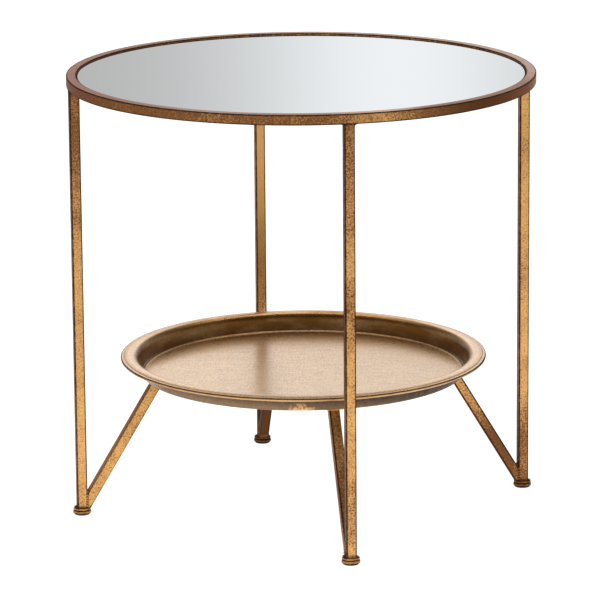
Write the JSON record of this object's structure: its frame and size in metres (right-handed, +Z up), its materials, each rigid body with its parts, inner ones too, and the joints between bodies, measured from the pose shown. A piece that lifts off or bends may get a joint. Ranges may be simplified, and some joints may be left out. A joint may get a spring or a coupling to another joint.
{
  "type": "accent table",
  "caption": "Round side table with a drop-in mirror in a square-tube hoop, upright legs, raking braces, a pressed tray shelf and screw-in feet.",
  "frame": {"origin": "on the floor under the middle of the table", "axes": "+Z up through the middle of the mirror and the tray; legs on the X and Y axes, the front leg on -Y"},
  "size_m": [0.59, 0.59, 0.55],
  "materials": {
    "frame_gold": "antique gold leaf effect, mottled, with dark brown edges",
    "tray_bronze": "satin bronze-gold with fine brushed streaks",
    "mirror_glass": "clear plain mirror with a ground edge",
    "dark_board": "thin fibre board, painted black",
    "clear_rubber": "translucent soft bumper",
    "zinc_steel": "bright zinc plated",
    "pad_rubber": "matt black non-marking pad"
  },
  "bodies": {
    "frame": {"top_hoop": "frame_gold", "glass_ledge": "frame_gold", "ledge_bumpers": "clear_rubber", "tray": "tray_bronze", "tray_studs": "zinc_steel", "tray_nuts": "zinc_steel", "leg_right": "frame_gold", "leg_back": "frame_gold", "leg_left": "frame_gold", "leg_front": "frame_gold", "brace_right": "frame_gold", "brace_back": "frame_gold", "brace_left": "frame_gold", "brace_front": "frame_gold", "foot_socket_right": "frame_gold", "foot_socket_back": "frame_gold", "foot_socket_left": "frame_gold", "foot_socket_front": "frame_gold", "tray_tab_right": "frame_gold", "tray_tab_back": "frame_gold", "tray_tab_left": "frame_gold", "tray_tab_front": "frame_gold"},
    "mirror_top": {"mirror_pane": "mirror_glass", "backing_board": "dark_board"},
    "foot_right": {"glide_right": "frame_gold", "glide_pad_right": "pad_rubber"},
    "foot_back": {"glide_back": "frame_gold", "glide_pad_back": "pad_rubber"},
    "foot_left": {"glide_left": "frame_gold", "glide_pad_left": "pad_rubber"},
    "foot_front": {"glide_front": "frame_gold", "glide_pad_front": "pad_rubber"}
  },
  "joints": [
    {"name": "mirror_lift", "type": "slide", "parent": "frame", "child": "mirror_top", "axis": [0, 0, 1], "range_m": [0, 0.06]},
    {"name": "foot_screw_right", "type": "slide", "parent": "frame", "child": "foot_right", "axis": [0, 0, -1], "range_m": [0, 0.006]},
    {"name": "foot_screw_back", "type": "slide", "parent": "frame", "child": "foot_back", "axis": [0, 0, -1], "range_m": [0, 0.006]},
    {"name": "foot_screw_left", "type": "slide", "parent": "frame", "child": "foot_left", "axis": [0, 0, -1], "range_m": [0, 0.006]},
    {"name": "foot_screw_front", "type": "slide", "parent": "frame", "child": "foot_front", "axis": [0, 0, -1], "range_m": [0, 0.006]}
  ]
}
